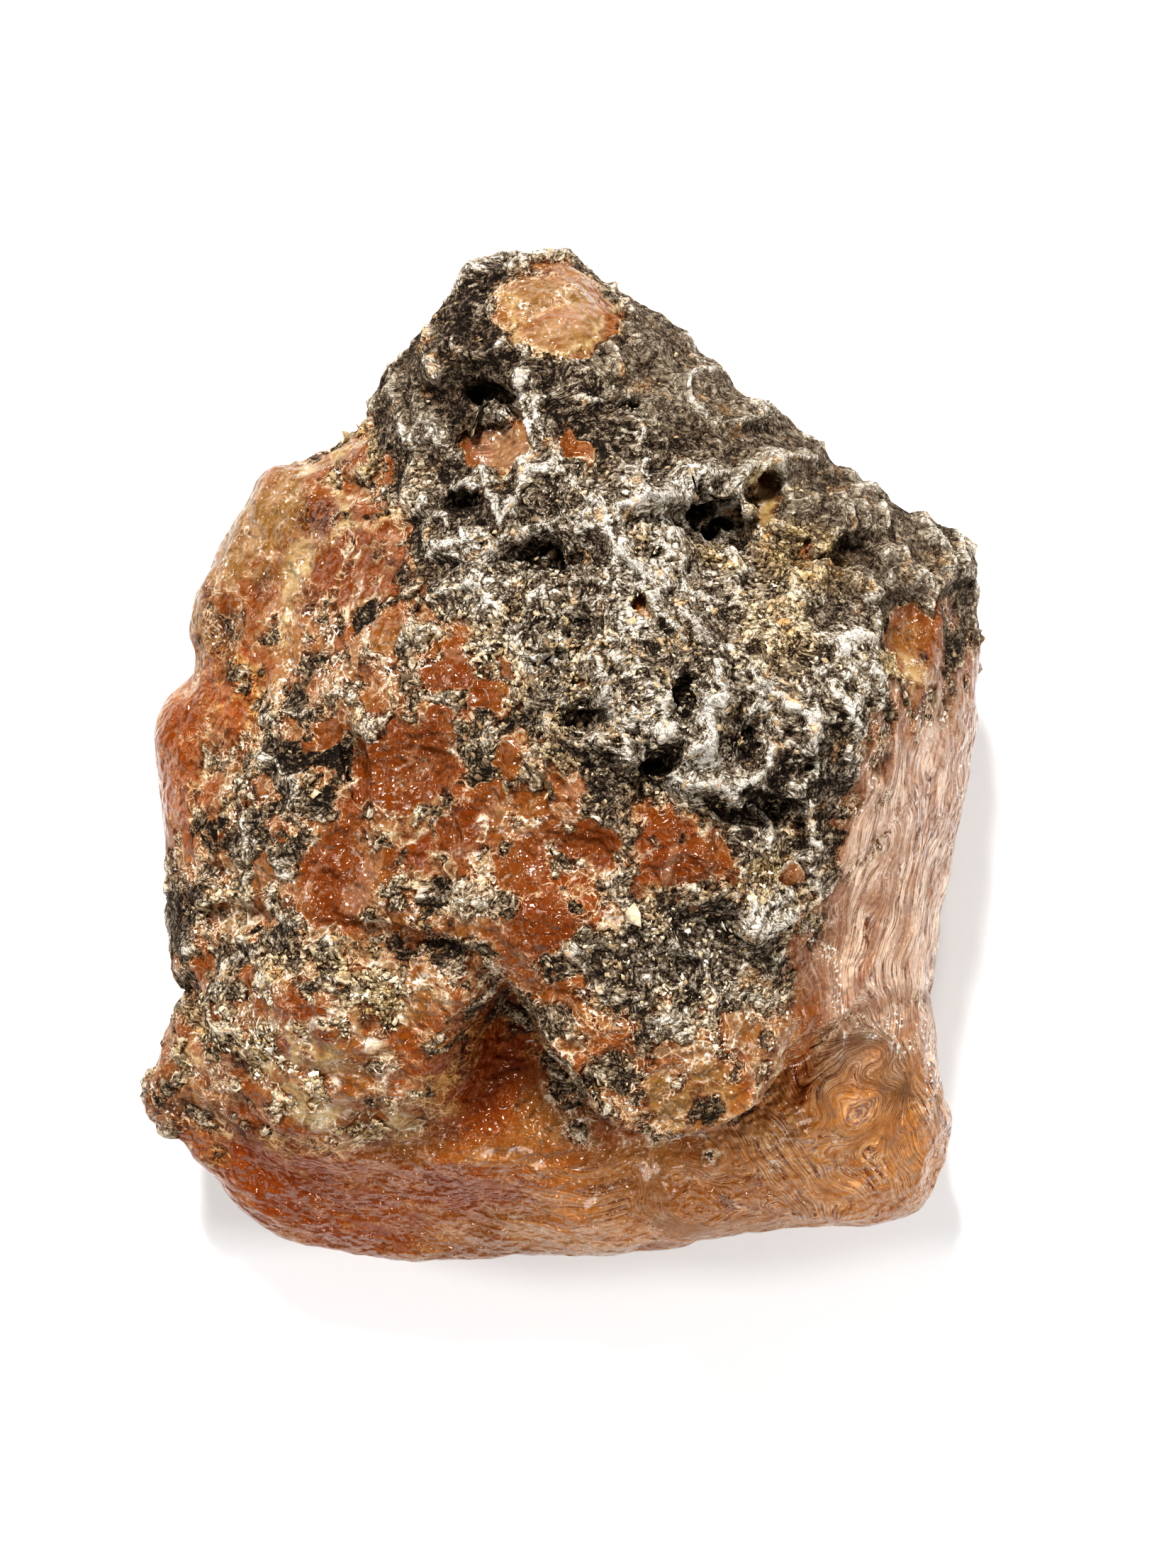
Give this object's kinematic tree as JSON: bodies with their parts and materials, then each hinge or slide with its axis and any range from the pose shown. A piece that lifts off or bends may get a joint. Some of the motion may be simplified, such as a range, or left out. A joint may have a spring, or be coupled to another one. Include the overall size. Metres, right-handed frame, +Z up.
{
  "type": "raw copal lump",
  "caption": "Palm-sized irregular lump of raw copal resin: amber broken faces and a ledge under a ridged, pitted grey-brown crust, lying on its flattest side.",
  "frame": {"origin": "middle of the lump's outline in plan, on the surface that it rests on", "axes": "+Y along the lump's length towards its tip, +Z up through the crusted side"},
  "size_m": [0.0578, 0.0698, 0.0367],
  "materials": {
    "copal": "orange-brown translucent resin, satin on the broken faces, dull and crusted on the weathered top"
  },
  "bodies": {
    "root": {"copal_lump": "copal"}
  },
  "joints": []
}
